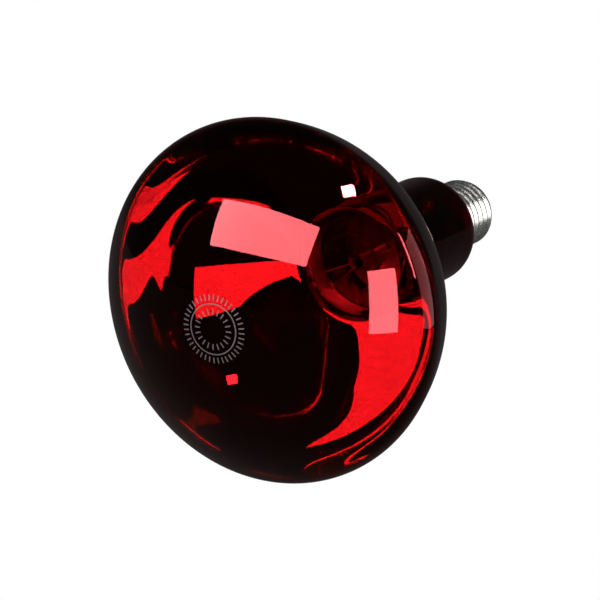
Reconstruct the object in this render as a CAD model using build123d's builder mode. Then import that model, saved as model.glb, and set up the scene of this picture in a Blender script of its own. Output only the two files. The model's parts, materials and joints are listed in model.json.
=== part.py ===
from build123d import *
from math import atan2, cos, degrees, hypot, radians, sin, sqrt
import os

# Reflector heat lamp: a blown ruby-glass bulb with an aluminised bowl, a sealed mount that carries the filament,
# and a medium screw base.
#
# Millimetres. The lamp's axis is Y: the domed face looks toward -Y, the screw base points toward +Y, +Z is up.
# The origin is on the axis, at the open edge of the screw shell. Radii are measured from the axis.

# ---------------------------------------------------------------- driving dimensions
# Bulb
bulb_diameter = 127.0           # widest, at the rim plane
face_rise = 37.0                # rim plane to the middle of the face
rim_rounding = 12.8             # between the face and the bowl
bowl_start_angle = 16.0         # how far the rim rounding turns past the widest point
shell_from_rim = 121.1          # rim plane to the open edge of the screw shell
neck_diameter = 40.4
neck_from_rim = 59.9            # rim plane to the start of the straight neck
neck_blend = 6.7                # hollow rounding between bowl and neck
neck_blend_angle = 49.4         # slope of the bowl where that rounding starts
bowl_rim_fullness = 0.76        # how long the bowl keeps the rim's slope
bowl_neck_fullness = 0.98       # how long the bowl keeps the slope at its neck end
shoulder_rounding = 9.4         # outer rounding at the base end of the neck
seal_diameter = 21.2            # narrow glass neck inside the screw shell
seal_length = 7.0               # from the shell's open edge
glass_wall = 1.2

# Reflector and face stamp
coating_thickness = 0.1
coating_start_angle = 3.0       # behind the widest point of the rim rounding
coating_in_neck = 9.0           # length of coating on the straight neck
stamp_thickness = 0.06
stamp_line = 0.45
stamp_ring_radii = (3.5, 8.6)
stamp_tick_bands = ((5.0, 7.0, 20), (9.7, 11.7, 40))    # inner radius, outer radius, number of ticks

# Screw shell, medium size
skirt_diameter = 26.0
skirt_length = 4.4              # open edge to the first thread
lip_height = 0.8
lip_overhang = 0.4
sheet = 0.3
thread_pitch = 25.4 / 7
thread_crest_diameter = 25.9
thread_root_diameter = 24.3
thread_ridge_width = 2.9        # across one ridge, at the root
thread_run_in = 2.9             # turn of the ridge hidden under the skirt, along the axis
thread_run_out = 1.6            # over which the ridge dies away at the nose
thread_length = 19.8
thread_start_angle = 185.0      # where the thread begins, round the axis
nose_length = 2.0
nose_opening_diameter = 19.0

# Base end
insulator_inside = 2.4          # depth behind the nose, inside the shell
insulator_height = 1.6          # beyond the nose
insulator_land_diameter = 11.6
eyelet_diameter = 10.0
eyelet_thickness = 0.5
eyelet_barrel_diameter = 4.0
eyelet_bore_diameter = 2.6
eyelet_barrel_length = 3.4
solder_diameter = 6.6
solder_height = 1.3
solder_flat_diameter = 3.4
solder_plug_length = 1.5
side_solder_radius = 0.9
cement_depth = 6.2              # from the shell's open edge

# Mount: the glass and wires that carry the filament
filament_from_shell = 66.0      # open edge of the shell to the filament's plane, at the bowl's focus
filament_ring_radius = 11.0
filament_coil_radius = 0.75
filament_gap_angle = 80.0       # open part of the ring, at the bottom
stem_tube_diameter = 8.8
stem_wall = 1.1
press_width = 11.0
press_thickness = 4.4
press_length = 9.0
press_from_shell = 21.0         # open edge of the shell to the wide end of the press
press_taper = 4.0               # from the press down to the round stem tube
press_corner = 1.5
exhaust_diameter = 3.8
exhaust_wall = 0.7
exhaust_end = 9.5               # beyond the shell's open edge
arbor_diameter = 3.0
button_diameter = 5.6
button_height = 3.6
button_from_filament = 4.6
support_count = 5
support_wire = 0.4
support_grip = 0.8              # length of each support wire held in the glass button
support_hook_arc = 300.0        # how far each hook goes round the filament
inner_lead_wire = 0.9
outer_lead_wire = 0.6
seal_wire = 0.7
lead_spacing = 5.4
lead_in_press = 2.0             # length of each lead held in the press
inner_lead_bend = 12.0          # press to the inner leads' bend
inner_bend_radius = 3.6
outer_bend_radius = 1.8
side_bend_radius = 0.6
lead_rise = 1.2                 # straight run of the contact's lead beyond the exhaust tube
side_lead_rise = 1.8            # how far the shell's lead clears the end of the glass seal
side_lead_tail = 0.8            # beyond the skirt, in the solder
crimp_wall = 0.4
crimp_grip_angle = 8.0          # of the filament's ring, held in the crimp
crimp_end_angle = 5.0           # beyond the filament's end
shield_from_press = 7.5
shield_gap = 1.6                # between the heat shield and the neck
shield_sheet = 0.3
shield_rim = 1.8

# Clearances
shell_edge_gap = 0.1            # between the shell's edge and the glass shoulder
insulator_gap = 0.2             # between the insulator and the shell's thread roots
arbor_gap = 0.2                 # between the arbor and the heat shield
lead_lay = 0.3                  # between the side lead and the glass seal

# ---------------------------------------------------------------- worked-out places
bulb_radius = bulb_diameter / 2
neck_radius = neck_diameter / 2
seal_radius = seal_diameter / 2
skirt_radius = skirt_diameter / 2
thread_root_radius = thread_root_diameter / 2
thread_crest_radius = thread_crest_diameter / 2
nose_opening_radius = nose_opening_diameter / 2

rim_y = -shell_from_rim
face_y = rim_y - face_rise
rim_centre = bulb_radius - rim_rounding
face_radius = (rim_centre**2 + face_rise**2 - rim_rounding**2) / (2 * (face_rise - rim_rounding))
face_centre_y = face_y + face_radius
face_edge_angle = degrees(atan2(rim_y - face_centre_y, rim_centre))
neck_y = rim_y + neck_from_rim
shoulder_centre = neck_radius - shoulder_rounding
shoulder_reach = skirt_radius - sheet - shoulder_centre
shoulder_y = -shell_edge_gap - sqrt(shoulder_rounding**2 - shoulder_reach**2)
shoulder_top_y = shoulder_y + shoulder_rounding

thread_start_y = skirt_length
thread_end_y = thread_start_y + thread_length
nose_end_y = thread_end_y + nose_length
insulator_end_y = nose_end_y + insulator_height
eyelet_end_y = insulator_end_y + eyelet_thickness
contact_y = eyelet_end_y + solder_height

filament_y = -filament_from_shell
press_base_y = -press_from_shell
press_tip_y = press_base_y - press_length
stem_y = press_base_y + press_taper
button_y = filament_y + button_from_filament
ring_gap_centre = 90            # the filament ring's gap is below; angles turn about +Y from +X toward -Z
ring_arc = 360 - filament_gap_angle
lead_x = lead_spacing / 2
shield_y = press_tip_y - shield_from_press


# ---------------------------------------------------------------- bulb outline
# Each stretch is drawn in the plane of the axis, x being the radius, at a depth inside the glass's outer surface.
def tangent_corner(start, start_angle, end, end_angle):
    """Where the two end tangents of the bowl meet; angles are the outward normals' directions."""
    start_dir = (-sin(radians(start_angle)), cos(radians(start_angle)))
    end_dir = (-sin(radians(end_angle)), cos(radians(end_angle)))
    gap = (end[0] - start[0], end[1] - start[1])
    turn = start_dir[0] * end_dir[1] - start_dir[1] * end_dir[0]
    reach = (gap[0] * end_dir[1] - gap[1] * end_dir[0]) / turn
    return (start[0] + reach * start_dir[0], start[1] + reach * start_dir[1])


def rim_point(depth, angle):
    reach = rim_rounding - depth
    return (rim_centre + reach * cos(radians(angle)), rim_y + reach * sin(radians(angle)))


def face_arc(depth):
    CenterArc((0, face_centre_y), face_radius - depth, -90, 90 + face_edge_angle)


def rim_arc(depth, start_angle):
    CenterArc((rim_centre, rim_y), rim_rounding - depth, start_angle, bowl_start_angle - start_angle)


def bowl_end(depth):
    reach = neck_blend + depth
    end_r = neck_radius + neck_blend - reach * cos(radians(neck_blend_angle))
    return (end_r, neck_y - reach * sin(radians(neck_blend_angle)))


def partway(start, end, share):
    return (start[0] + share * (end[0] - start[0]), start[1] + share * (end[1] - start[1]))


def bowl_curve(depth):
    start = rim_point(depth, bowl_start_angle)
    end = bowl_end(depth)
    corner = tangent_corner(start, bowl_start_angle, end, neck_blend_angle)
    rim_handle = partway(start, corner, bowl_rim_fullness)
    neck_handle = partway(end, corner, bowl_neck_fullness)
    Bezier(start, rim_handle, neck_handle, end)


def neck_curve(depth):
    CenterArc(
        (neck_radius + neck_blend, neck_y), neck_blend + depth, 180 + neck_blend_angle, -neck_blend_angle
    )


# ---------------------------------------------------------------- glass bulb
with BuildPart() as glass_bulb:
    with BuildSketch(Plane.XY):
        with BuildLine():
            for depth in (0, glass_wall):
                face_arc(depth)
                rim_arc(depth, face_edge_angle)
                bowl_curve(depth)
                neck_curve(depth)
                Line((neck_radius - depth, neck_y), (neck_radius - depth, shoulder_y))
                CenterArc((shoulder_centre, shoulder_y), shoulder_rounding - depth, 0, 90)
                Polyline(
                    (shoulder_centre, shoulder_top_y - depth),
                    (seal_radius - depth, shoulder_top_y - depth),
                    (seal_radius - depth, seal_length),
                )
            Line((0, face_y), (0, face_y + glass_wall))
            Line((seal_radius, seal_length), (seal_radius - glass_wall, seal_length))
        make_face()
    revolve(axis=Axis.Y)
    # One piece of glass, held as two solids that meet where the bowl ends, so that each is convex outside
    split(bisect_by=Plane((0, bowl_end(0)[1], 0), z_dir=(0, 1, 0)), keep=Keep.BOTH)
glass_bulb.part.label = "glass_bulb"


# ---------------------------------------------------------------- reflector coating
with BuildPart() as reflector_coating:
    coating_faces = (glass_wall, glass_wall + coating_thickness)
    coating_end_y = neck_y + coating_in_neck
    with BuildSketch(Plane.XY):
        with BuildLine():
            for depth in coating_faces:
                rim_arc(depth, coating_start_angle)
                bowl_curve(depth)
                neck_curve(depth)
                Line((neck_radius - depth, neck_y), (neck_radius - depth, coating_end_y))
            Line(*[rim_point(depth, coating_start_angle) for depth in coating_faces])
            Line(*[(neck_radius - depth, coating_end_y) for depth in coating_faces])
        make_face()
    revolve(axis=Axis.Y)
reflector_coating.part.label = "reflector_coating"


# ---------------------------------------------------------------- face stamp
# Plain circles and tick marks, a thin frosted layer on the outside of the face
with BuildPart() as face_stamp:
    with BuildSketch(Plane((0, face_y - stamp_thickness, 0), x_dir=(1, 0, 0), z_dir=(0, 1, 0))):
        for radius in stamp_ring_radii:
            Circle(radius + stamp_line / 2)
            Circle(radius - stamp_line / 2, mode=Mode.SUBTRACT)
        for inner, outer, count in stamp_tick_bands:
            with PolarLocations((inner + outer) / 2, count):
                Rectangle(outer - inner, stamp_line)
    extrude(amount=rim_rounding)
    with Locations((0, face_centre_y, 0)):
        Sphere(face_radius + stamp_thickness, mode=Mode.INTERSECT)
        Sphere(face_radius, mode=Mode.SUBTRACT)
face_stamp.part.label = "face_stamp"


# ---------------------------------------------------------------- screw shell
# The shell is rolled sheet: the same threaded form is drawn twice, the inner one a sheet's thickness further in.
def thread_ridge(depth):
    """The thread's rounded ridge, at a depth inside the shell's outer surface."""
    height = thread_crest_radius - thread_root_radius
    round_radius = (thread_ridge_width**2 / 4 + height**2) / (2 * height)
    foot = -depth - sheet
    half_foot = sqrt((round_radius - depth) ** 2 - (foot - height + round_radius) ** 2)
    run_start_y = thread_start_y - thread_run_in
    with BuildPart() as ridge:
        with BuildLine() as path:
            Helix(
                thread_pitch,
                thread_end_y - run_start_y,
                thread_root_radius,
                center=(0, run_start_y, 0),
                direction=(0, 1, 0),
            )
        start = path.line @ 0
        outward = Vector(start.X, 0, start.Z).normalized()
        with BuildSketch(Plane(start, x_dir=outward, z_dir=path.line % 0)):
            with BuildLine():
                ThreePointArc((foot, -half_foot), (height - depth, 0), (foot, half_foot))
                Line((foot, half_foot), (foot, -half_foot))
            make_face()
        sweep(path=path.line, is_frenet=True)
    return ridge.part.rotate(Axis.Y, thread_start_angle)


def threaded_form(depth):
    """Core and ridge, run out on the nose, with the plain skirt at the open end."""
    skirt_r = skirt_radius - depth
    root_r = thread_root_radius - depth
    nose_r = nose_opening_radius - depth
    with BuildPart() as form:
        with BuildSketch(Plane((0, 0, 0), z_dir=(0, 1, 0))):
            Circle(root_r)
        extrude(amount=nose_end_y)
        add(thread_ridge(depth))
        with BuildSketch(Plane.XY):
            with BuildLine():
                Polyline(
                    (0, 0),
                    (skirt_r, 0),
                    (skirt_r, thread_end_y - thread_run_out - depth / 2),
                    (root_r, thread_end_y - depth / 2),
                    (nose_r, nose_end_y - depth / 2),
                    (nose_r, nose_end_y + sheet),
                    (0, nose_end_y + sheet),
                    close=True,
                )
            make_face()
        revolve(axis=Axis.Y, mode=Mode.INTERSECT)
        with BuildSketch(Plane.XY):
            with BuildLine():
                Polyline(
                    (0, 0),
                    (skirt_r, 0),
                    (skirt_r, thread_start_y),
                    (root_r, thread_start_y + skirt_r - root_r),
                    (0, thread_start_y + skirt_r - root_r),
                    close=True,
                )
            make_face()
        revolve(axis=Axis.Y)
    return form.part


with BuildPart() as screw_shell:
    add(threaded_form(0))
    with BuildSketch(Plane((0, 0, 0), z_dir=(0, 1, 0))):
        Circle(skirt_radius + lip_overhang)
    extrude(amount=lip_height)
    add(threaded_form(sheet), mode=Mode.SUBTRACT)
    # Notch in the lip where the side lead comes out
    with Locations((-skirt_radius, lip_height / 2, 0)):
        Box(2 * (lip_overhang + sheet) + outer_lead_wire, lip_height, outer_lead_wire, mode=Mode.SUBTRACT)
screw_shell.part.label = "screw_shell"


# ---------------------------------------------------------------- leads
def swept_wire(points, bend_radius, diameter):
    """A round wire along straight runs joined by bends."""
    with BuildPart() as wire:
        with BuildLine() as path:
            FilletPolyline(*points, radius=bend_radius)
        with BuildSketch(Plane(path.line @ 0, z_dir=path.line % 0)):
            Circle(diameter / 2)
        sweep(path=path.line)
    return wire.part


inner_leads = {}
seal_wires = {}
for side, circuit in ((1, "contact"), (-1, "shell")):
    tip_angle = radians(ring_gap_centre - side * (filament_gap_angle - crimp_end_angle) / 2)
    tip = (filament_ring_radius * cos(tip_angle), filament_y, -filament_ring_radius * sin(tip_angle))
    lead_points = (
        (side * lead_x, press_tip_y + lead_in_press, 0),
        (side * lead_x, press_tip_y - inner_lead_bend, 0),
        tip,
    )
    lead_wire = swept_wire(lead_points, inner_bend_radius, inner_lead_wire)
    # The lead's end is crimped round the filament's end: a solid stub in the gap, and a sleeve on the filament
    filament_end = ring_gap_centre - side * filament_gap_angle / 2
    stub_start = min(filament_end, filament_end + side * crimp_end_angle)
    sleeve_start = min(filament_end, filament_end - side * crimp_grip_angle)
    with BuildPart() as inner_lead:
        add(lead_wire)
        with BuildSketch(Plane.XY.rotated((0, stub_start, 0))):
            with Locations((filament_ring_radius, filament_y)):
                Circle(filament_coil_radius + crimp_wall)
        revolve(axis=Axis.Y, revolution_arc=crimp_end_angle)
        with BuildSketch(Plane.XY.rotated((0, sleeve_start, 0))):
            with Locations((filament_ring_radius, filament_y)):
                Circle(filament_coil_radius + crimp_wall)
                Circle(filament_coil_radius, mode=Mode.SUBTRACT)
        revolve(axis=Axis.Y, revolution_arc=crimp_grip_angle)
    inner_lead.part.label = f"inner_lead_{circuit}"
    inner_leads[circuit] = inner_lead

    # Copper-clad wire, sealed in the press between the inner and outer leads
    with BuildPart() as seal:
        with BuildSketch(Plane((side * lead_x, press_tip_y + lead_in_press, 0), z_dir=(0, 1, 0))):
            Circle(seal_wire / 2)
        extrude(amount=press_length + press_taper - 2 * lead_in_press)
    seal.part.label = f"dumet_seal_{circuit}"
    seal_wires[circuit] = seal

outer_lead_start_y = stem_y - lead_in_press
contact_lead_end_y = contact_y - solder_height / 2
contact_lead_points = (
    (lead_x, outer_lead_start_y, 0),
    (lead_x, exhaust_end + lead_rise, 0),
    (0, thread_end_y - insulator_inside, 0),
    (0, contact_lead_end_y, 0),
)
with BuildPart() as outer_lead_contact:
    add(swept_wire(contact_lead_points, outer_bend_radius, outer_lead_wire))
outer_lead_contact.part.label = "outer_lead_contact"

side_lead_r = seal_radius + lead_lay + outer_lead_wire / 2
side_lead_turn_y = seal_length + side_lead_rise
side_lead_points = (
    (-lead_x, outer_lead_start_y, 0),
    (-lead_x, side_lead_turn_y, 0),
    (-side_lead_r, side_lead_turn_y, 0),
    (-side_lead_r, lip_height / 2, 0),
    (-skirt_radius - side_lead_tail, lip_height / 2, 0),
)
with BuildPart() as outer_lead_shell:
    add(swept_wire(side_lead_points, side_bend_radius, outer_lead_wire))
outer_lead_shell.part.label = "outer_lead_shell"


# ---------------------------------------------------------------- base end
with BuildPart() as base_insulator:
    with BuildSketch(Plane.XY):
        with BuildLine():
            Polyline(
                (eyelet_barrel_diameter / 2, thread_end_y - insulator_inside),
                (thread_root_radius - sheet - insulator_gap, thread_end_y - insulator_inside),
                (thread_root_radius - sheet - insulator_gap, thread_end_y - insulator_gap),
                (nose_opening_radius - sheet, nose_end_y - insulator_gap),
                (nose_opening_radius - sheet, nose_end_y),
                (insulator_land_diameter / 2, insulator_end_y),
                (eyelet_barrel_diameter / 2, insulator_end_y),
                close=True,
            )
        make_face()
    revolve(axis=Axis.Y)
base_insulator.part.label = "base_insulator"

with BuildPart() as center_contact:
    with BuildSketch(Plane.XY):
        with BuildLine():
            Polyline(
                (eyelet_bore_diameter / 2, insulator_end_y - eyelet_barrel_length),
                (eyelet_barrel_diameter / 2, insulator_end_y - eyelet_barrel_length),
                (eyelet_barrel_diameter / 2, insulator_end_y),
                (eyelet_diameter / 2, insulator_end_y),
                (eyelet_diameter / 2, eyelet_end_y),
                (eyelet_bore_diameter / 2, eyelet_end_y),
                close=True,
            )
        make_face()
    revolve(axis=Axis.Y)
    fillet(center_contact.edges().filter_by(GeomType.CIRCLE).sort_by(Axis.Y)[-1], eyelet_thickness / 2)
center_contact.part.label = "center_contact"

with BuildPart() as contact_solder:
    with BuildSketch(Plane.XY):
        with BuildLine():
            Polyline(
                (solder_flat_diameter / 2, contact_y),
                (0, contact_y),
                (0, eyelet_end_y - solder_plug_length),
                (eyelet_bore_diameter / 2, eyelet_end_y - solder_plug_length),
                (eyelet_bore_diameter / 2, eyelet_end_y),
                (solder_diameter / 2, eyelet_end_y),
            )
            Bezier(
                (solder_diameter / 2, eyelet_end_y),
                (solder_diameter / 2, contact_y),
                (solder_flat_diameter / 2, contact_y),
            )
        make_face()
    revolve(axis=Axis.Y)
    add(outer_lead_contact.part, mode=Mode.SUBTRACT)
contact_solder.part.label = "contact_solder"

with BuildPart() as shell_solder:
    lip_radius = skirt_radius + lip_overhang
    with BuildSketch(Plane((0, 0, 0), x_dir=(1, 0, 0), z_dir=(0, 1, 0))):
        with Locations((-lip_radius, 0)):
            Circle(side_solder_radius)
        Circle(lip_radius, mode=Mode.SUBTRACT)
    extrude(amount=lip_height)
    add(outer_lead_shell.part, mode=Mode.SUBTRACT)
shell_solder.part.label = "shell_solder"

with BuildPart() as basing_cement:
    with BuildSketch(Plane.XY):
        with BuildLine():
            Polyline(
                (seal_radius, lip_height),
                (skirt_radius - sheet, lip_height),
                (skirt_radius - sheet, thread_start_y),
                (thread_root_radius - sheet, thread_start_y + skirt_radius - thread_root_radius),
                (thread_root_radius - sheet, cement_depth),
                (seal_radius, cement_depth),
                close=True,
            )
        make_face()
    revolve(axis=Axis.Y)
    add(outer_lead_shell.part, mode=Mode.SUBTRACT)
basing_cement.part.label = "basing_cement"


# ---------------------------------------------------------------- stem
with BuildPart() as stem_flare:
    flare_r = seal_radius - glass_wall
    tube_r = stem_tube_diameter / 2
    flare_reach = flare_r - tube_r
    flare_y = seal_length - flare_reach - stem_wall
    with BuildSketch(Plane.XY):
        with BuildLine():
            Line((tube_r, stem_y), (tube_r, flare_y))
            CenterArc((flare_r, flare_y), flare_reach, 180, -90)
            Line((flare_r, flare_y + flare_reach), (flare_r, seal_length))
            CenterArc((flare_r, flare_y), flare_reach + stem_wall, 90, 90)
            Line((tube_r - stem_wall, flare_y), (tube_r - stem_wall, stem_y))
            Line((tube_r - stem_wall, stem_y), (tube_r, stem_y))
        make_face()
    revolve(axis=Axis.Y)
stem_flare.part.label = "stem_flare"

with BuildPart() as stem_press:
    with BuildSketch(Plane((0, press_tip_y, 0), x_dir=(1, 0, 0), z_dir=(0, 1, 0))):
        RectangleRounded(press_width, press_thickness, press_corner)
    extrude(amount=press_length)
    with BuildSketch(Plane((0, press_base_y, 0), x_dir=(1, 0, 0), z_dir=(0, 1, 0))):
        RectangleRounded(press_width, press_thickness, press_corner)
    with BuildSketch(Plane((0, stem_y, 0), x_dir=(1, 0, 0), z_dir=(0, 1, 0))):
        Circle(stem_tube_diameter / 2)
    loft()
    for circuit in inner_leads:
        add(inner_leads[circuit].part, mode=Mode.SUBTRACT)
        add(seal_wires[circuit].part, mode=Mode.SUBTRACT)
    add(outer_lead_contact.part, mode=Mode.SUBTRACT)
    add(outer_lead_shell.part, mode=Mode.SUBTRACT)
stem_press.part.label = "stem_press"

with BuildPart() as exhaust_tube:
    tube_r = exhaust_diameter / 2
    tip_y = exhaust_end - tube_r
    with BuildSketch(Plane.XY):
        with BuildLine():
            Line((tube_r, stem_y), (tube_r, tip_y))
            CenterArc((0, tip_y), tube_r, 0, 90)
            Line((0, exhaust_end), (0, exhaust_end - exhaust_wall))
            CenterArc((0, tip_y), tube_r - exhaust_wall, 90, -90)
            Line((tube_r - exhaust_wall, tip_y), (tube_r - exhaust_wall, stem_y))
            Line((tube_r - exhaust_wall, stem_y), (tube_r, stem_y))
        make_face()
    revolve(axis=Axis.Y)
exhaust_tube.part.label = "exhaust_tube"

with BuildPart() as arbor_rod:
    with BuildSketch(Plane((0, press_tip_y, 0), z_dir=(0, -1, 0))):
        Circle(arbor_diameter / 2)
    extrude(amount=press_tip_y - button_y - button_height / 2)
arbor_rod.part.label = "arbor_rod"


# ---------------------------------------------------------------- filament and supports
ring_start = ring_gap_centre + filament_gap_angle / 2

with BuildPart() as filament:
    with BuildSketch(Plane.XY.rotated((0, ring_start, 0))):
        with Locations((filament_ring_radius, filament_y)):
            Circle(filament_coil_radius)
    revolve(axis=Axis.Y, revolution_arc=ring_arc)
filament.part.label = "filament"

# Each support runs from the button to a hook that wraps the filament, in a plane through the lamp's axis
hook_radius = filament_coil_radius + support_wire / 2
hook_centre = (filament_ring_radius, filament_y)
foot = (button_diameter / 2 - support_grip, button_y)
foot_reach = hypot(hook_centre[0] - foot[0], hook_centre[1] - foot[1])
foot_angle = degrees(atan2(foot[1] - hook_centre[1], foot[0] - hook_centre[0]))
touch_angle = foot_angle - degrees(atan2(sqrt(foot_reach**2 - hook_radius**2), hook_radius))
touch = (
    hook_centre[0] + hook_radius * cos(radians(touch_angle)),
    hook_centre[1] + hook_radius * sin(radians(touch_angle)),
)
support_wires = []
support_runs = []
for index in range(support_count):
    turn = ring_start + ring_arc * (index + 0.5) / support_count
    support_plane = Plane.XY.rotated((0, turn, 0))
    start = support_plane.from_local_coords(foot)
    bend = support_plane.from_local_coords(touch)
    along = bend - start
    hook_axis = Axis(support_plane.from_local_coords(hook_centre), support_plane.z_dir)
    with BuildPart() as support:
        with BuildSketch(Plane(start, z_dir=along)):
            Circle(support_wire / 2)
        extrude(amount=along.length)
        with BuildSketch(Plane(bend, z_dir=along)):
            Circle(support_wire / 2)
        revolve(axis=hook_axis, revolution_arc=support_hook_arc)
    support.part.label = f"support_wire_{index + 1}"
    support_wires.append(support)
    support_runs.append((start, along))

with BuildPart() as glass_button:
    with BuildSketch(Plane.XY):
        with BuildLine():
            Line((0, button_y - button_height / 2), (0, button_y + button_height / 2))
            Line((0, button_y + button_height / 2), (arbor_diameter / 2, button_y + button_height / 2))
            ThreePointArc(
                (arbor_diameter / 2, button_y + button_height / 2),
                (button_diameter / 2, button_y),
                (arbor_diameter / 2, button_y - button_height / 2),
            )
            Line((arbor_diameter / 2, button_y - button_height / 2), (0, button_y - button_height / 2))
        make_face()
    revolve(axis=Axis.Y)
    for start, along in support_runs:
        with BuildSketch(Plane(start, z_dir=along)):
            Circle(support_wire / 2)
        extrude(amount=along.length, mode=Mode.SUBTRACT)
glass_button.part.label = "glass_button"


# ---------------------------------------------------------------- heat shield
with BuildPart() as heat_shield_disc:
    shield_r = neck_radius - glass_wall - coating_thickness - shield_gap
    with BuildSketch(Plane.XY):
        with BuildLine():
            Polyline(
                (arbor_diameter / 2 + arbor_gap, shield_y),
                (shield_r - shield_sheet, shield_y),
                (shield_r - shield_sheet, shield_y + shield_rim),
                (shield_r, shield_y + shield_rim),
                (shield_r, shield_y - shield_sheet),
                (arbor_diameter / 2 + arbor_gap, shield_y - shield_sheet),
                close=True,
            )
        make_face()
    revolve(axis=Axis.Y)
    for inner_lead in inner_leads.values():
        add(inner_lead.part, mode=Mode.SUBTRACT)
heat_shield_disc.part.label = "heat_shield_disc"


# ---------------------------------------------------------------- export
pieces = [
    glass_bulb, reflector_coating, face_stamp, screw_shell, base_insulator, center_contact, contact_solder,
    shell_solder, basing_cement, stem_flare, stem_press, exhaust_tube, arbor_rod, glass_button, filament,
    heat_shield_disc, outer_lead_contact, outer_lead_shell,
]
pieces += [*inner_leads.values(), *seal_wires.values(), *support_wires]

os.makedirs("parts", exist_ok=True)
for piece in pieces:
    export_step(piece.part, f"parts/{piece.part.label}.step")
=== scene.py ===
"""Looks of the reflector heat lamp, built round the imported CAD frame.

Metres, +Z up. The lamp's axis is Y: the domed face looks toward -Y and the screw base toward +Y.
"""
import cmath
import json
import math

import bmesh
import bpy
from mathutils import Matrix, Vector, noise


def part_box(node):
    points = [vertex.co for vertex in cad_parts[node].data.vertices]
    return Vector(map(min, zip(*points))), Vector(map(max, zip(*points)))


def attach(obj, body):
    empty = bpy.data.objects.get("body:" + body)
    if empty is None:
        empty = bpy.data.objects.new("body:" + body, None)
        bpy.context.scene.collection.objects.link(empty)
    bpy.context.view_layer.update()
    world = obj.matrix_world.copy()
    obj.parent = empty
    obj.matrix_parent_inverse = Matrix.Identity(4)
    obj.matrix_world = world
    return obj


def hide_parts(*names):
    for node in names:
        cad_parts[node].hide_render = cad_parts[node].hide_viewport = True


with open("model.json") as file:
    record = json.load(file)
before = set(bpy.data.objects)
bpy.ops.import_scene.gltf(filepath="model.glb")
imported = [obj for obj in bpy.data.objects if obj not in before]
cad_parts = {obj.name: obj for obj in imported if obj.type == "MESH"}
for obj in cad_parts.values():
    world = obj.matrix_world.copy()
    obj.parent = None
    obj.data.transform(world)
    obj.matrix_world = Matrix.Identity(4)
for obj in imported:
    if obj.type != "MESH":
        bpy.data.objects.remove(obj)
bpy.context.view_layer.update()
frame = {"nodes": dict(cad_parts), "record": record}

MM = 0.001

# ---------------------------------------------------------------- sizes, following the CAD part's
BULB_LOW, BULB_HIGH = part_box("glass_bulb")
SHELL_LOW, SHELL_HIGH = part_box("screw_shell")
BULB_RADIUS = BULB_HIGH[0]
FACE_Y = BULB_LOW[1]
SEAL_END_Y = BULB_HIGH[1]
NOSE_END_Y = SHELL_HIGH[1]
LIP_RADIUS = SHELL_HIGH[0]

FACE_RISE = 37.0 * MM
RIM_ROUNDING = 12.8 * MM
BOWL_START_ANGLE = math.radians(16.0)
NECK_RADIUS = 20.2 * MM
NECK_FROM_RIM = 59.9 * MM
NECK_BLEND = 6.7 * MM
NECK_BLEND_ANGLE = math.radians(49.4)
BOWL_RIM_FULLNESS = 0.76
BOWL_NECK_FULLNESS = 0.98
SHOULDER_ROUNDING = 9.4 * MM
SEAL_RADIUS = 10.6 * MM
GLASS_WALL = 1.2 * MM
COATING_START_ANGLE = math.radians(3.0)
COATING_IN_NECK = 9.0 * MM
COATING_THICKNESS = 0.08 * MM    # with the air gap, the CAD coating's 0.1 mm
AIR_GAP = 0.02 * MM              # keeps two surfaces that touch apart for the renderer

SKIRT_RADIUS = 13.0 * MM
SKIRT_LENGTH = 4.4 * MM
LIP_HEIGHT = 0.8 * MM
SHEET = 0.3 * MM
THREAD_PITCH = 25.4 * MM / 7
CREST_RADIUS = 12.95 * MM
ROOT_RADIUS = 12.15 * MM
NOSE_LENGTH = 2.0 * MM
THREAD_END_Y = NOSE_END_Y - NOSE_LENGTH
THREAD_RUN_OUT = 1.6 * MM
LIP_EDGE = 0.12 * MM
NOSE_RADIUS = 9.5 * MM

FILAMENT_GAP = math.radians(80.0)
FILAMENT_TURNS = 120
FILAMENT_WIRE = 0.13 * MM          # radius

RIM_Y = FACE_Y + FACE_RISE
RIM_CENTRE = BULB_RADIUS - RIM_ROUNDING
FACE_RADIUS = (RIM_CENTRE**2 + FACE_RISE**2 - RIM_ROUNDING**2) / (2 * (FACE_RISE - RIM_ROUNDING))
FACE_CENTRE_Y = FACE_Y + FACE_RADIUS
FACE_EDGE_ANGLE = math.atan2(RIM_Y - FACE_CENTRE_Y, RIM_CENTRE)
NECK_Y = RIM_Y + NECK_FROM_RIM
SHOULDER_CENTRE = NECK_RADIUS - SHOULDER_ROUNDING
SHOULDER_Y = -0.1 * MM - math.sqrt(SHOULDER_ROUNDING**2 - (SKIRT_RADIUS - SHEET - SHOULDER_CENTRE) ** 2)

# The photograph's viewpoint
VIEW_AZIMUTH = math.radians(30.1)
VIEW_ELEVATION = math.radians(16.1)
VIEW_DISTANCE = 0.874
VIEW_LENS = 155.0
AIM_RIGHT = 10.0 * MM            # the picture's centre, from the middle of the rim plane
AIM_UP = 0.8 * MM

LIGHT_DISTANCE = 1.0
DARK_GLOW = 0.015                # world in front of the lamp
DIM_GLOW = 0.05                  # world well behind the lamp, and the floor


# ---------------------------------------------------------------- mesh helpers
def new_piece(name, verts, faces, smooth=True):
    mesh = bpy.data.meshes.new(name)
    mesh.from_pydata(verts, [], faces)
    mesh.validate()
    for polygon in mesh.polygons:
        polygon.use_smooth = smooth
    piece = bpy.data.objects.new(name, mesh)
    bpy.context.scene.collection.objects.link(piece)
    return piece


def arc(centre, radius, start, end, steps):
    """Points (radius from the axis, y) along an arc, both ends included."""
    turn = (end - start) / steps
    return [
        (centre[0] + radius * math.cos(start + turn * i), centre[1] + radius * math.sin(start + turn * i))
        for i in range(steps + 1)
    ]


def line(start, end, steps):
    return [
        (start[0] + (end[0] - start[0]) * i / steps, start[1] + (end[1] - start[1]) * i / steps)
        for i in range(steps + 1)
    ]


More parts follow.
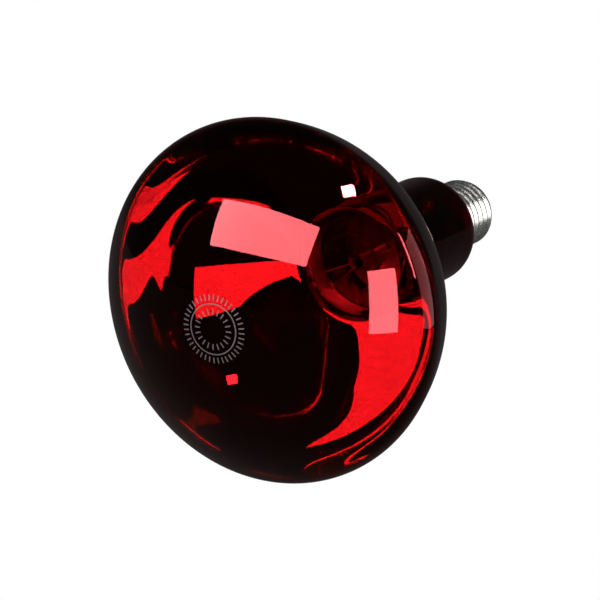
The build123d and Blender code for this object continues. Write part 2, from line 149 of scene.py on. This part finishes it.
def joined(*stretches):
    """One outline from stretches that meet end to end, without the doubled points."""
    points = []
    for stretch in stretches:
        for point in stretch:
            if not points or math.dist(point, points[-1]) > 1e-7:
                points.append(point)
    return points


def lathe(name, outline, segments, closed=True, shift=None):
    """Turns an outline of (radius, y) points about the Y axis.

    closed joins the outline's last point to its first. shift(point, outline index) moves each vertex.
    """
    verts = []
    rings = []
    for index, (radius, y) in enumerate(outline):
        count = 1 if radius < 1e-7 else segments
        ring = []
        for step in range(count):
            angle = 2 * math.pi * step / segments
            point = Vector((radius * math.cos(angle), y, radius * math.sin(angle)))
            if shift:
                point = shift(point, index)
            ring.append(len(verts))
            verts.append(point)
        rings.append(ring)
    faces = []
    pairs = list(zip(rings, rings[1:]))
    if closed:
        pairs.append((rings[-1], rings[0]))
    for low, high in pairs:
        if len(low) == 1 and len(high) == 1:
            continue
        for step in range(segments):
            after = (step + 1) % segments
            corners = [
                low[step % len(low)],
                low[after % len(low)],
                high[after % len(high)],
                high[step % len(high)],
            ]
            face = list(dict.fromkeys(corners))
            faces.append(face)
    return new_piece(name, verts, faces)


def outward(piece):
    """Points every face of a closed piece out of its solid."""
    work = bmesh.new()
    work.from_mesh(piece.data)
    bmesh.ops.recalc_face_normals(work, faces=work.faces)
    work.to_mesh(piece.data)
    work.free()


def place(piece, slot, material, *nodes):
    """Gives a finished piece its material and its body, and hides the CAD nodes that it stands for."""
    piece.data.materials.clear()
    piece.data.materials.append(material)
    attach(piece, "root")
    if nodes:
        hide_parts(*nodes)


# ---------------------------------------------------------------- materials
def node_material(name):
    material = bpy.data.materials.new(name)
    material.use_nodes = True
    tree = material.node_tree
    return material, tree, tree.nodes["Principled BSDF"]


def noise_value(tree, scale, detail=3.0, roughness=0.55, stretch=(1, 1, 1)):
    coords = tree.nodes.new("ShaderNodeTexCoord")
    mapping = tree.nodes.new("ShaderNodeMapping")
    mapping.inputs["Scale"].default_value = stretch
    texture = tree.nodes.new("ShaderNodeTexNoise")
    texture.inputs["Scale"].default_value = scale
    texture.inputs["Detail"].default_value = detail
    texture.inputs["Roughness"].default_value = roughness
    tree.links.new(coords.outputs["Object"], mapping.inputs["Vector"])
    tree.links.new(mapping.outputs["Vector"], texture.inputs["Vector"])
    return texture.outputs["Fac"]


def ranged(tree, value, low, high):
    remap = tree.nodes.new("ShaderNodeMapRange")
    remap.inputs["From Min"].default_value = 0.3
    remap.inputs["From Max"].default_value = 0.7
    remap.inputs["To Min"].default_value = low
    remap.inputs["To Max"].default_value = high
    tree.links.new(value, remap.inputs["Value"])
    return remap.outputs["Result"]


def bumped(tree, shader, height, distance, strength=1.0):
    bump = tree.nodes.new("ShaderNodeBump")
    bump.inputs["Distance"].default_value = distance
    bump.inputs["Strength"].default_value = strength
    tree.links.new(height, bump.inputs["Height"])
    tree.links.new(bump.outputs["Normal"], shader.inputs["Normal"])


def blended_colour(tree, shader, value, first, second):
    ramp = tree.nodes.new("ShaderNodeValToRGB")
    ramp.color_ramp.elements[0].position = 0.35
    ramp.color_ramp.elements[0].color = (*first, 1)
    ramp.color_ramp.elements[1].position = 0.65
    ramp.color_ramp.elements[1].color = (*second, 1)
    tree.links.new(value, ramp.inputs["Fac"])
    tree.links.new(ramp.outputs["Color"], shader.inputs["Base Color"])


def ruby_glass():
    material, tree, shader = node_material("ruby_glass")
    shader.inputs["Base Color"].default_value = (0.235, 0.018, 0.022, 1)
    shader.inputs["Roughness"].default_value = 0.0
    shader.inputs["IOR"].default_value = 1.5
    shader.inputs["Transmission Weight"].default_value = 1.0
    shader.inputs["Specular Tint"].default_value = (1.0, 0.16, 0.18, 1)
    return material


def clear_glass():
    material, tree, shader = node_material("clear_glass")
    shader.inputs["Base Color"].default_value = (0.93, 0.96, 0.95, 1)
    shader.inputs["Roughness"].default_value = 0.02
    shader.inputs["IOR"].default_value = 1.52
    shader.inputs["Transmission Weight"].default_value = 1.0
    return material


def metal(name, light, dark, roughness, scale=400.0, grain=0.004 * MM, stretch=(1, 1, 1)):
    material, tree, shader = node_material(name)
    shader.inputs["Metallic"].default_value = 1.0
    patches = noise_value(tree, scale * 0.25, 4.0, 0.6)
    blended_colour(tree, shader, patches, dark, light)
    fine = noise_value(tree, scale, 5.0, 0.65, stretch)
    tree.links.new(ranged(tree, fine, roughness[0], roughness[1]), shader.inputs["Roughness"])
    bumped(tree, shader, fine, grain)
    return material


def aluminised():
    material, tree, shader = node_material("aluminised")
    shader.inputs["Base Color"].default_value = (0.9, 0.9, 0.91, 1)
    shader.inputs["Metallic"].default_value = 1.0
    shader.inputs["Roughness"].default_value = 0.0
    return material


def matt(name, light, dark, roughness, scale, depth):
    material, tree, shader = node_material(name)
    grains = noise_value(tree, scale, 6.0, 0.6)
    blended_colour(tree, shader, grains, dark, light)
    tree.links.new(ranged(tree, grains, roughness[0], roughness[1]), shader.inputs["Roughness"])
    bumped(tree, shader, grains, depth)
    return material


MATERIALS = {
    "ruby_glass": ruby_glass(),
    "clear_glass": clear_glass(),
    "aluminised": aluminised(),
    "frosted_mark": matt(
        "frosted_mark", (0.030, 0.022, 0.024), (0.016, 0.012, 0.013), (0.6, 0.8), 3000, 0.01 * MM
    ),
    "shell_metal": metal("shell_metal", (0.92, 0.91, 0.88), (0.78, 0.77, 0.74), (0.2, 0.34), 900),
    "solder": metal("solder", (0.80, 0.80, 0.81), (0.55, 0.55, 0.57), (0.22, 0.42), 1600, 0.02 * MM),
    "eyelet_brass": metal("eyelet_brass", (0.86, 0.68, 0.36), (0.62, 0.44, 0.2), (0.18, 0.34), 1200),
    "vitrite": matt("vitrite", (0.03, 0.028, 0.032), (0.012, 0.011, 0.013), (0.1, 0.24), 900, 0.02 * MM),
    "cement": matt("cement", (0.66, 0.58, 0.45), (0.42, 0.36, 0.27), (0.8, 0.95), 1800, 0.08 * MM),
    "nickel_wire": metal("nickel_wire", (0.72, 0.69, 0.63), (0.5, 0.48, 0.45), (0.2, 0.35), 2500),
    "copper_wire": metal("copper_wire", (0.86, 0.47, 0.31), (0.5, 0.24, 0.15), (0.22, 0.4), 2500),
    "molybdenum": metal("molybdenum", (0.5, 0.5, 0.52), (0.3, 0.3, 0.32), (0.25, 0.4), 2500),
    "tungsten": metal("tungsten", (0.4, 0.4, 0.42), (0.2, 0.2, 0.22), (0.3, 0.5), 3000),
    "shield_metal": metal("shield_metal", (0.85, 0.85, 0.86), (0.6, 0.6, 0.61), (0.25, 0.4), 600),
}


# ---------------------------------------------------------------- bulb outline
def tangent_corner(start, start_angle, end, end_angle):
    """Where the two end tangents of the bowl meet; angles are the outward normals' directions."""
    start_dir = (-math.sin(start_angle), math.cos(start_angle))
    end_dir = (-math.sin(end_angle), math.cos(end_angle))
    gap = (end[0] - start[0], end[1] - start[1])
    turn = start_dir[0] * end_dir[1] - start_dir[1] * end_dir[0]
    reach = (gap[0] * end_dir[1] - gap[1] * end_dir[0]) / turn
    return (start[0] + reach * start_dir[0], start[1] + reach * start_dir[1])


def partway(start, end, share):
    return (start[0] + share * (end[0] - start[0]), start[1] + share * (end[1] - start[1]))


def bowl_curve(depth, steps=72):
    """The bowl's curve, between the rim rounding and the neck's hollow rounding."""
    reach = RIM_ROUNDING - depth
    start = (RIM_CENTRE + reach * math.cos(BOWL_START_ANGLE), RIM_Y + reach * math.sin(BOWL_START_ANGLE))
    reach = NECK_BLEND + depth
    end = (
        NECK_RADIUS + NECK_BLEND - reach * math.cos(NECK_BLEND_ANGLE),
        NECK_Y - reach * math.sin(NECK_BLEND_ANGLE),
    )
    corner = tangent_corner(start, BOWL_START_ANGLE, end, NECK_BLEND_ANGLE)
    rim_handle = partway(start, corner, BOWL_RIM_FULLNESS)
    neck_handle = partway(end, corner, BOWL_NECK_FULLNESS)
    controls = (start, rim_handle, neck_handle, end)
    points = []
    for i in range(steps + 1):
        t = i / steps
        weights = ((1 - t) ** 3, 3 * t * (1 - t) ** 2, 3 * t**2 * (1 - t), t**3)
        points.append(tuple(sum(w * p[k] for w, p in zip(weights, controls)) for k in (0, 1)))
    return points


def neck_curve(depth, steps=14):
    centre = (NECK_RADIUS + NECK_BLEND, NECK_Y)
    return arc(centre, NECK_BLEND + depth, math.pi + NECK_BLEND_ANGLE, math.pi, steps)


def bulb_wall(depth):
    """The bulb's outline at a depth inside its outer surface, from the axis at the face to the seal's end."""
    top_y = SHOULDER_Y + SHOULDER_ROUNDING - depth
    seal_r = SEAL_RADIUS - depth
    face = arc((0, FACE_CENTRE_Y), FACE_RADIUS - depth, -math.pi / 2, FACE_EDGE_ANGLE, 56)
    face[0] = (0.0, face[0][1])
    return joined(
        face,
        arc((RIM_CENTRE, RIM_Y), RIM_ROUNDING - depth, FACE_EDGE_ANGLE, BOWL_START_ANGLE, 26),
        bowl_curve(depth),
        neck_curve(depth),
        line((NECK_RADIUS - depth, NECK_Y), (NECK_RADIUS - depth, SHOULDER_Y), 16),
        arc((SHOULDER_CENTRE, SHOULDER_Y), SHOULDER_ROUNDING - depth, 0, math.pi / 2, 18),
        line((SHOULDER_CENTRE, top_y), (seal_r, top_y), 1),
        line((seal_r, top_y), (seal_r, SEAL_END_Y), 4),
    )


# ---------------------------------------------------------------- glass bulb and reflector
def ripple(point, seed):
    """How far blown glass strays from its mould, in metres: none at the face's middle, most on the bowl."""
    along = (point.y - FACE_Y) / (NECK_Y - FACE_Y)
    share = max(0.0, min(1.0, (along - 0.25) / 0.2)) * max(0.0, min(1.0, (1.25 - along) / 0.2))
    x, y, z = point
    drift = 0.012 * noise.noise(Vector((x / 0.05, y / 0.05 + 2.0 * seed, z / 0.05)))
    broad = noise.noise(Vector(((x + drift) / 0.021, y / 0.048 + seed, (z - drift) / 0.016)))
    fine = noise.noise(Vector(((x - drift) / 0.010, y / 0.030 - seed, (z + drift) / 0.007)))
    return share * (0.024 * MM * broad + 0.008 * MM * fine)


def radial(point, amount):
    """Moves a point toward the lamp's axis by an amount."""
    away = Vector((point.x, 0, point.z))
    if away.length < 1e-6:
        return point
    return point - away.normalized() * amount


def make_glass_bulb():
    outer = bulb_wall(0.0)
    inner = bulb_wall(GLASS_WALL)
    outline = outer + inner[::-1]
    split = len(outer)

    def wavy(point, index):
        seed = 3.0 if index < split else 11.0
        return radial(point, abs(ripple(point, seed)))

    bulb = lathe("ruby_bulb", outline, 224, closed=False, shift=wavy)
    outward(bulb)
    place(bulb, "ruby_glass", MATERIALS["ruby_glass"], "glass_bulb")


def make_reflector():
    start = RIM_ROUNDING - GLASS_WALL
    skins = []
    for depth in (GLASS_WALL + AIR_GAP, GLASS_WALL + AIR_GAP + COATING_THICKNESS):
        skins.append(joined(
            arc((RIM_CENTRE, RIM_Y), RIM_ROUNDING - depth, COATING_START_ANGLE, BOWL_START_ANGLE, 5),
            bowl_curve(depth),
            neck_curve(depth),
            line((NECK_RADIUS - depth, NECK_Y), (NECK_RADIUS - depth, NECK_Y + COATING_IN_NECK), 6),
        ))

    def wavy(point, index):
        return radial(point, abs(ripple(point, 11.0)))

    coating = lathe("reflector_skin", skins[0] + skins[1][::-1], 224, shift=wavy)
    outward(coating)
    place(coating, "aluminised", MATERIALS["aluminised"], "reflector_coating")


# ---------------------------------------------------------------- screw shell
def thread_phase():
    """Where the CAD thread's crest stands: turns of phase at y = 0 on the +X side."""
    total = 0
    for vertex in frame["nodes"]["screw_shell"].data.vertices:
        x, y, z = vertex.co
        if math.hypot(x, z) > CREST_RADIUS - 0.02 * MM and SKIRT_LENGTH * 1.5 < y < THREAD_END_Y - 2 * MM:
            turn = y / THREAD_PITCH - math.atan2(-z, x) / (2 * math.pi)
            total += cmath.exp(2j * math.pi * turn)
    return cmath.phase(total) / (2 * math.pi)


def smoothstep(low, high, value):
    t = max(0.0, min(1.0, (value - low) / (high - low)))
    return t * t * (3 - 2 * t)


def make_screw_shell():
    phase = thread_phase()
    nose_start = THREAD_END_Y

    def shell_radius(y, angle):
        turn = y / THREAD_PITCH - angle / (2 * math.pi) - phase
        wave = 0.5 + 0.5 * math.cos(2 * math.pi * turn)
        wave = wave**0.85
        crest = SKIRT_RADIUS + (CREST_RADIUS - SKIRT_RADIUS) * smoothstep(SKIRT_LENGTH, SKIRT_LENGTH + MM, y)
        crest += (ROOT_RADIUS - crest) * smoothstep(nose_start - THREAD_RUN_OUT, nose_start, y)
        fall = smoothstep(SKIRT_LENGTH, SKIRT_LENGTH + 1.2 * MM, y)
        root = SKIRT_RADIUS + (ROOT_RADIUS - SKIRT_RADIUS) * fall
        radius = root + (crest - root) * wave
        if y > nose_start:
            radius = ROOT_RADIUS + (NOSE_RADIUS - ROOT_RADIUS) * (y - nose_start) / (NOSE_END_Y - nose_start)
        return radius

    rows = 168
    segments = 200
    heights = [LIP_HEIGHT + (NOSE_END_Y - LIP_HEIGHT) * i / rows for i in range(rows + 1)]
    lip = [
        (LIP_RADIUS - LIP_EDGE, 0.0),
        (LIP_RADIUS, LIP_EDGE),
        (LIP_RADIUS, LIP_HEIGHT - LIP_EDGE),
        (LIP_RADIUS - LIP_EDGE, LIP_HEIGHT),
    ]
    verts = []
    count = 0

    def add_ring(radius_at, y):
        nonlocal count
        for step in range(segments):
            angle = 2 * math.pi * step / segments
            radius = radius_at(y, angle)
            verts.append((radius * math.cos(angle), y, -radius * math.sin(angle)))
        count += 1

    for radius, y in lip:
        add_ring(lambda _y, _angle, r=radius: r, y)
    for y in heights:
        add_ring(shell_radius, y)
    for y in reversed(heights):
        add_ring(lambda _y, a: shell_radius(_y, a) - SHEET, y)
    add_ring(lambda _y, _angle: SKIRT_RADIUS - SHEET, 0.0)
    faces = []
    for ring in range(count):
        after_ring = (ring + 1) % count
        for step in range(segments):
            after = (step + 1) % segments
            faces.append((ring * segments + step, ring * segments + after,
                          after_ring * segments + after, after_ring * segments + step))
    shell = new_piece("threaded_shell", verts, faces)
    outward(shell)
    place(shell, "shell_metal", MATERIALS["shell_metal"], "screw_shell")


# ---------------------------------------------------------------- filament
def tube(name, points, radius, sides):
    """A round tube along a list of points, closed at both ends."""
    verts = []
    faces = []
    normal = Vector((0, 1, 0))
    for index, point in enumerate(points):
        ahead = points[min(index + 1, len(points) - 1)]
        behind = points[max(index - 1, 0)]
        along = (ahead - behind).normalized()
        normal = (normal - along * normal.dot(along)).normalized()
        side = along.cross(normal)
        for step in range(sides):
            angle = 2 * math.pi * step / sides
            verts.append(point + radius * (math.cos(angle) * normal + math.sin(angle) * side))
    for ring in range(len(points) - 1):
        for step in range(sides):
            after = (step + 1) % sides
            faces.append((ring * sides + step, ring * sides + after,
                          (ring + 1) * sides + after, (ring + 1) * sides + step))
    faces.append(tuple(range(sides - 1, -1, -1)))
    last = (len(points) - 1) * sides
    faces.append(tuple(range(last, last + sides)))
    piece = new_piece(name, verts, faces)
    outward(piece)
    return piece


def make_filament():
    low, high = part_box("filament")
    coil_radius = (high[1] - low[1]) / 2 - FILAMENT_WIRE
    ring_radius = (high[0] - low[0]) / 2 - (high[1] - low[1]) / 2
    ring_y = (low[1] + high[1]) / 2
    steps = 12
    points = []
    for i in range(FILAMENT_TURNS * steps + 1):
        share = i / (FILAMENT_TURNS * steps)
        ring_angle = -math.pi / 2 + FILAMENT_GAP / 2 + share * (2 * math.pi - FILAMENT_GAP)
        coil_angle = 2 * math.pi * FILAMENT_TURNS * share
        radius = ring_radius + coil_radius * math.cos(coil_angle)
        points.append(Vector((
            radius * math.cos(ring_angle),
            ring_y + coil_radius * math.sin(coil_angle),
            radius * math.sin(ring_angle),
        )))
    coil = tube("coiled_filament", points, FILAMENT_WIRE, 6)
    place(coil, "tungsten", MATERIALS["tungsten"], "filament")


# ---------------------------------------------------------------- base end
def lumpy(amount, scale, seed):
    def shift(point, index):
        return radial(point, amount * (0.5 + 0.5 * noise.noise(point / scale + Vector((seed, 0, 0)))))
    return shift


def make_base_insulator():
    low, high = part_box("base_insulator")
    bore = 2.0 * MM
    land = 5.8 * MM
    inside = high[0]
    soft = 0.35 * MM
    outline = joined(
        line((bore, low[1]), (inside, low[1]), 4),
        line((inside, low[1]), (inside, THREAD_END_Y - 0.2 * MM), 3),
        line((inside, THREAD_END_Y - 0.2 * MM), (NOSE_RADIUS - SHEET, NOSE_END_Y - 0.2 * MM), 6),
        line((NOSE_RADIUS - SHEET, NOSE_END_Y - 0.2 * MM), (NOSE_RADIUS - SHEET, NOSE_END_Y), 1),
        line((NOSE_RADIUS - SHEET, NOSE_END_Y), (land + soft, high[1] - 0.25 * soft), 10),
        line((land + soft, high[1] - 0.25 * soft), (land - soft, high[1]), 2),
        line((land - soft, high[1]), (bore, high[1]), 5),
    )
    insulator = lathe("vitrite_button", outline, 120, shift=lumpy(0.05 * MM, 0.004, 2.0))
    outward(insulator)
    place(insulator, "vitrite", MATERIALS["vitrite"], "base_insulator")


def make_contact_solder():
    low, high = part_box("contact_solder")
    plug = 1.3 * MM
    wide = high[0]
    flat = 1.7 * MM
    seat = high[1] - 1.3 * MM
    dome = [
        (flat + (wide - flat) * math.cos(angle), seat + (high[1] - seat) * math.sin(angle))
        for angle in (math.pi / 2 * i / 14 for i in range(15))
    ]
    outline = joined([(0.0, low[1]), (plug, low[1]), (plug, seat)], line((plug, seat), (wide, seat), 4), dome,
                     [(0.0, high[1])])
    tip = lathe("solder_tip", outline, 96, closed=False, shift=lumpy(0.12 * MM, 0.002, 5.0))
    outward(tip)
    place(tip, "solder", MATERIALS["solder"], "contact_solder")


# ---------------------------------------------------------------- studio
def softbox(name, azimuth, elevation, width, height, strength):
    """A plain glowing rectangle, LIGHT_DISTANCE from the rim plane's middle and facing it.

    The azimuth is in degrees from the face's own direction, toward +X.
    """
    turn = math.radians(azimuth)
    rise = math.radians(elevation)
    facing = Vector((math.sin(turn) * math.cos(rise), -math.cos(turn) * math.cos(rise), math.sin(rise)))
    across = Vector((0, 0, 1)).cross(facing).normalized()
    up = facing.cross(across)
    centre = Vector((0, RIM_Y, 0)) + facing * LIGHT_DISTANCE
    sides = ((-1, -1), (1, -1), (1, 1), (-1, 1))
    verts = [centre + across * x * width / 2 + up * y * height / 2 for x, y in sides]
    panel = new_piece(name, verts, [(0, 1, 2, 3)], smooth=False)
    material = bpy.data.materials.new(name)
    material.use_nodes = True
    tree = material.node_tree
    tree.nodes.clear()
    glow = tree.nodes.new("ShaderNodeEmission")
    glow.inputs["Strength"].default_value = strength
    output = tree.nodes.new("ShaderNodeOutputMaterial")
    tree.links.new(glow.outputs["Emission"], output.inputs["Surface"])
    panel.data.materials.append(material)
    panel.visible_camera = False


def make_lights():
    """Five plain rectangular softboxes: azimuth, elevation, width, height, strength."""
    softbox("key_panel", -10, 33, 1.0, 0.4, 24.0)
    softbox("side_panel", 57, 0, 0.25, 0.6, 24.0)
    softbox("spark", 47, 57, 0.1, 0.1, 400.0)
    softbox("edge_strip", 84, 22, 0.06, 0.4, 30.0)
    softbox("side_card", 110, 0, 0.7, 1.1, 2.2)


def make_world():
    """White to the camera; to everything else, dark in front of the lamp and dim grey well behind it."""
    world = bpy.data.worlds.new("studio")
    bpy.context.scene.world = world
    world.use_nodes = True
    tree = world.node_tree
    tree.nodes.clear()
    path = tree.nodes.new("ShaderNodeLightPath")
    coords = tree.nodes.new("ShaderNodeTexCoord")
    toward = tree.nodes.new("ShaderNodeVectorMath")
    toward.operation = "DOT_PRODUCT"
    toward.inputs[1].default_value = (
        -math.sin(VIEW_AZIMUTH) * math.cos(VIEW_ELEVATION),
        math.cos(VIEW_AZIMUTH) * math.cos(VIEW_ELEVATION),
        -math.sin(VIEW_ELEVATION),
    )
    fade = tree.nodes.new("ShaderNodeMapRange")
    fade.interpolation_type = "SMOOTHSTEP"
    fade.inputs["From Min"].default_value = math.cos(math.radians(48))
    fade.inputs["From Max"].default_value = math.cos(math.radians(24))
    fade.inputs["To Min"].default_value = DARK_GLOW
    fade.inputs["To Max"].default_value = DIM_GLOW
    seen = tree.nodes.new("ShaderNodeBackground")
    seen.inputs["Color"].default_value = (1, 1, 1, 1)
    around = tree.nodes.new("ShaderNodeBackground")
    around.inputs["Color"].default_value = (1, 1, 1, 1)
    mix = tree.nodes.new("ShaderNodeMixShader")
    output = tree.nodes.new("ShaderNodeOutputWorld")
    tree.links.new(coords.outputs["Generated"], toward.inputs[0])
    tree.links.new(toward.outputs["Value"], fade.inputs["Value"])
    tree.links.new(fade.outputs["Result"], around.inputs["Strength"])
    tree.links.new(path.outputs["Is Camera Ray"], mix.inputs["Fac"])
    tree.links.new(around.outputs["Background"], mix.inputs[1])
    tree.links.new(seen.outputs["Background"], mix.inputs[2])
    tree.links.new(mix.outputs["Shader"], output.inputs["Surface"])


def make_floor():
    """A plain pale floor, white to the camera and dim to the lamp's reflections."""
    size = 4.0
    drop = -0.25
    corners = [(-size, -size, drop), (size, -size, drop), (size, size, drop), (-size, size, drop)]
    floor = new_piece("floor", corners, [(0, 1, 2, 3)], smooth=False)
    material = bpy.data.materials.new("floor")
    material.use_nodes = True
    tree = material.node_tree
    tree.nodes.clear()
    path = tree.nodes.new("ShaderNodeLightPath")
    seen = tree.nodes.new("ShaderNodeEmission")
    dim = tree.nodes.new("ShaderNodeEmission")
    dim.inputs["Strength"].default_value = DIM_GLOW
    mix = tree.nodes.new("ShaderNodeMixShader")
    output = tree.nodes.new("ShaderNodeOutputMaterial")
    tree.links.new(path.outputs["Is Camera Ray"], mix.inputs["Fac"])
    tree.links.new(dim.outputs["Emission"], mix.inputs[1])
    tree.links.new(seen.outputs["Emission"], mix.inputs[2])
    tree.links.new(mix.outputs["Shader"], output.inputs["Surface"])
    floor.data.materials.append(material)


def make_camera():
    right = Vector((math.cos(VIEW_AZIMUTH), math.sin(VIEW_AZIMUTH), 0))
    forward = Vector((
        -math.sin(VIEW_AZIMUTH) * math.cos(VIEW_ELEVATION),
        math.cos(VIEW_AZIMUTH) * math.cos(VIEW_ELEVATION),
        -math.sin(VIEW_ELEVATION),
    ))
    up = right.cross(forward)
    data = bpy.data.cameras.new("camera")
    data.lens = VIEW_LENS
    data.sensor_width = 36.0
    data.clip_start = 0.01
    camera = bpy.data.objects.new("camera", data)
    aim = Vector((0, RIM_Y, 0)) + right * AIM_RIGHT + up * AIM_UP
    turn = Matrix((right, up, -forward)).transposed().to_4x4()
    camera.matrix_world = Matrix.Translation(aim - forward * VIEW_DISTANCE) @ turn
    bpy.context.scene.collection.objects.link(camera)
    bpy.context.scene.camera = camera


# ---------------------------------------------------------------- build
bpy.context.scene.view_settings.view_transform = "Standard"
make_camera()
make_world()
make_floor()
make_lights()
make_glass_bulb()
make_reflector()
make_screw_shell()
make_filament()
make_base_insulator()
make_contact_solder()

# The CAD nodes that stay take their finish from the record's slots
for entry in frame["record"]["subparts"]:
    node = frame["nodes"][entry["node"]]
    node.data.materials.clear()
    node.data.materials.append(MATERIALS[entry["material_slot"]])
